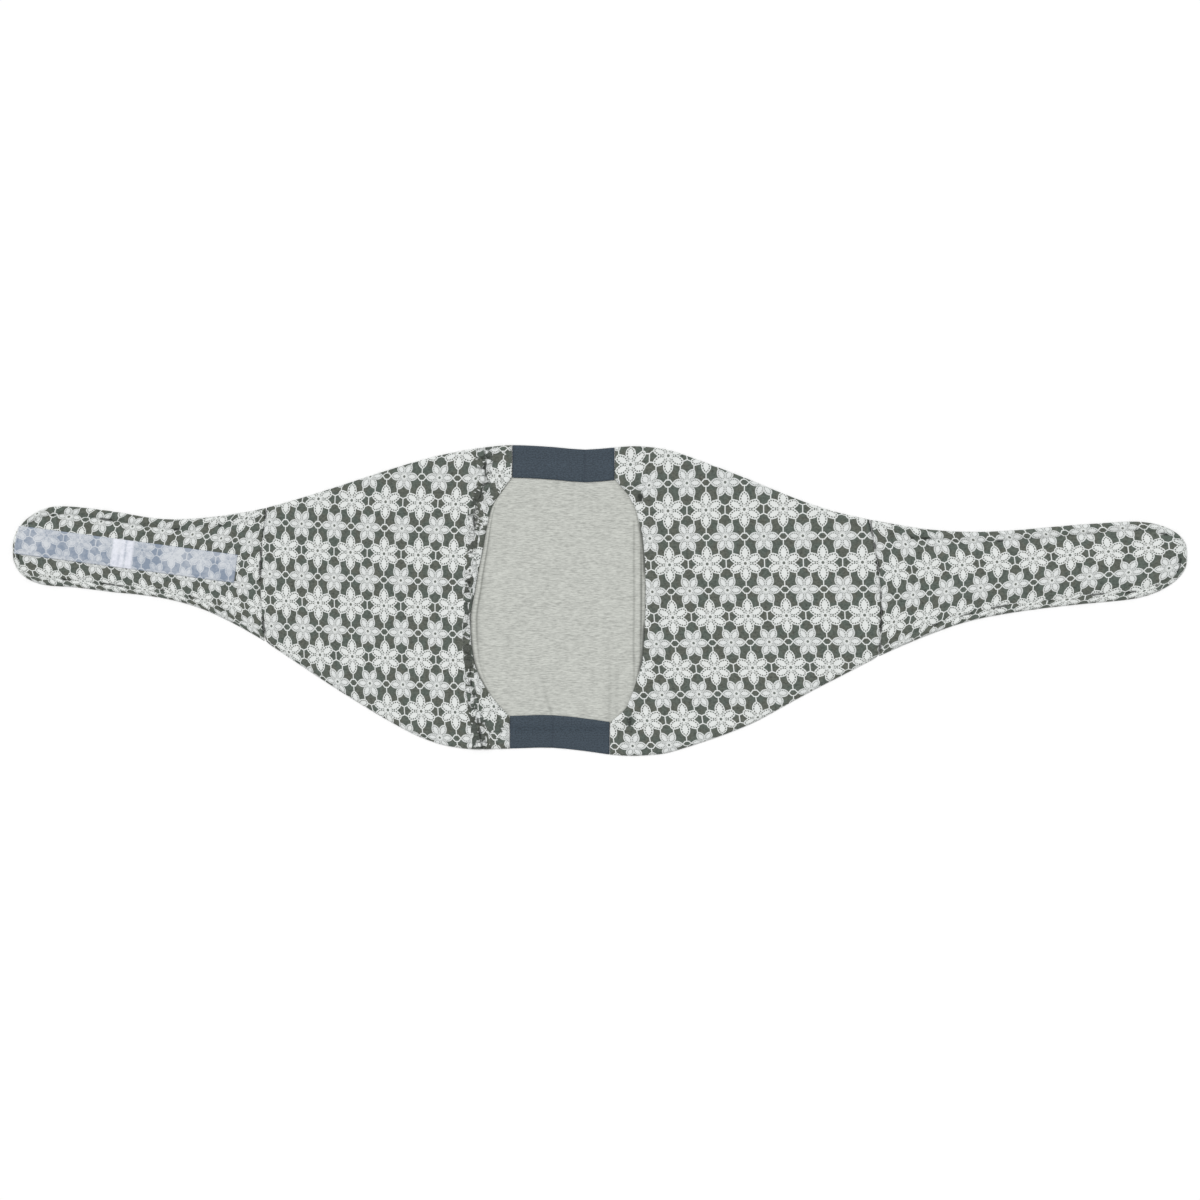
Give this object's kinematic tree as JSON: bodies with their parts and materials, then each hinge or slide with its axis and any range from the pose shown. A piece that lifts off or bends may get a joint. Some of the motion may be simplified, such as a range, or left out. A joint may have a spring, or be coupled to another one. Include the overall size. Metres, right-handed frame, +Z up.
{
  "type": "maternity support belt",
  "caption": "Flat-lying maternity support belt: printed cloth wings tapering to fastening tails, joined by elastic bands and a stretch belly panel.",
  "frame": {"origin": "middle of the belt's footprint, on the surface that it lies on", "axes": "+X along the belt towards the tail without hook tape, +Y across it towards the upper elastic band, +Z up out of the printed face"},
  "size_m": [1.08, 0.2858, 0.0063],
  "materials": {
    "printed_cloth": "matt cotton with a small printed repeat of white lace flowers on grey-green",
    "jersey": "soft heather-grey stretch knit",
    "elastic": "matt slate-blue ribbed woven elastic",
    "hook_tape": "thin milky hook tape with a fine hook pile",
    "loop_tape": "off-white napped loop tape"
  },
  "bodies": {
    "root": {"left_tail": "printed_cloth", "left_panel": "printed_cloth", "right_panel": "printed_cloth", "right_tail": "printed_cloth", "belly_panel": "jersey", "upper_elastic": "elastic", "lower_elastic": "elastic", "hook_strip": "hook_tape", "loop_patch": "loop_tape"}
  },
  "joints": []
}
